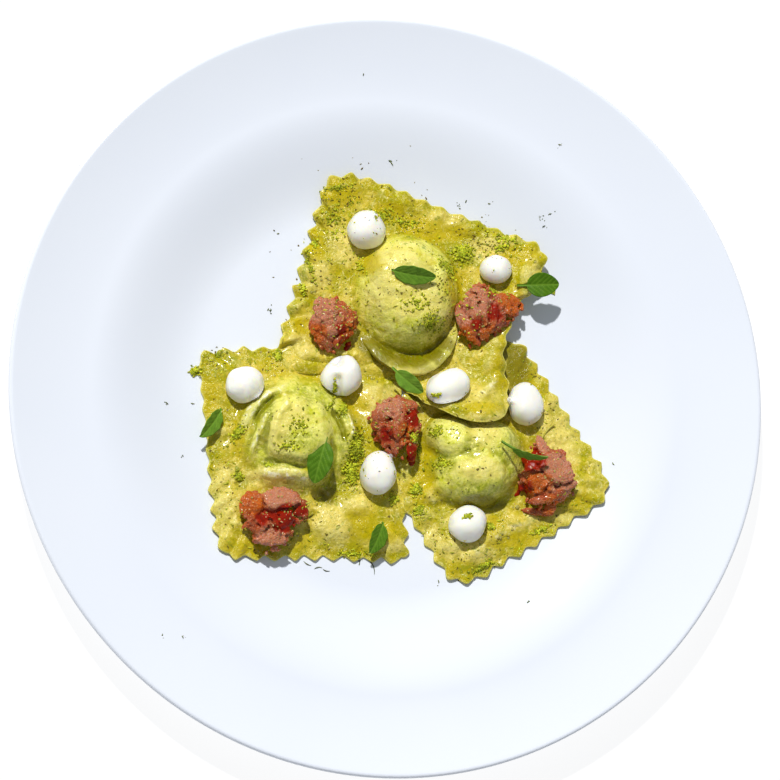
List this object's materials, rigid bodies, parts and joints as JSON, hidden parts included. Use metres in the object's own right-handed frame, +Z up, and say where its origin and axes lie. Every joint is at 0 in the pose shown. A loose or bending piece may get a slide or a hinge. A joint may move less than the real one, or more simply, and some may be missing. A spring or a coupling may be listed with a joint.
{
  "type": "plate of ravioli",
  "caption": "Large fluted ravioli with domed fillings overlapping on a white coupe plate, with cream dots, chopped tartare and small herb leaves.",
  "frame": {"origin": "centre of the plate's foot, on the surface that it stands on", "axes": "+Z up, +X to the plate's right and +Y to its far side, with the piece that lies on top at the far side"},
  "size_m": [0.28, 0.28, 0.0293],
  "materials": {
    "porcelain": "smooth white glaze",
    "pasta": "cooked green pasta, wet with oil",
    "cream": "soft white cream with a dull sheen",
    "tartare": "moist, translucent pink to deep red",
    "herb": "matt green leaf with pale veins"
  },
  "bodies": {
    "root": {"plate": "porcelain", "raviolo_top": "pasta", "raviolo_left": "pasta", "raviolo_right": "pasta", "cream_1": "cream", "cream_2": "cream", "cream_3": "cream", "cream_4": "cream", "cream_5": "cream", "cream_6": "cream", "cream_7": "cream", "cream_8": "cream", "tartare_1": "tartare", "tartare_2": "tartare", "tartare_3": "tartare", "tartare_4": "tartare", "tartare_5": "tartare", "leaf_1": "herb", "leaf_2": "herb", "leaf_3": "herb", "leaf_4": "herb", "leaf_5": "herb", "leaf_6": "herb", "leaf_7": "herb"}
  },
  "joints": []
}
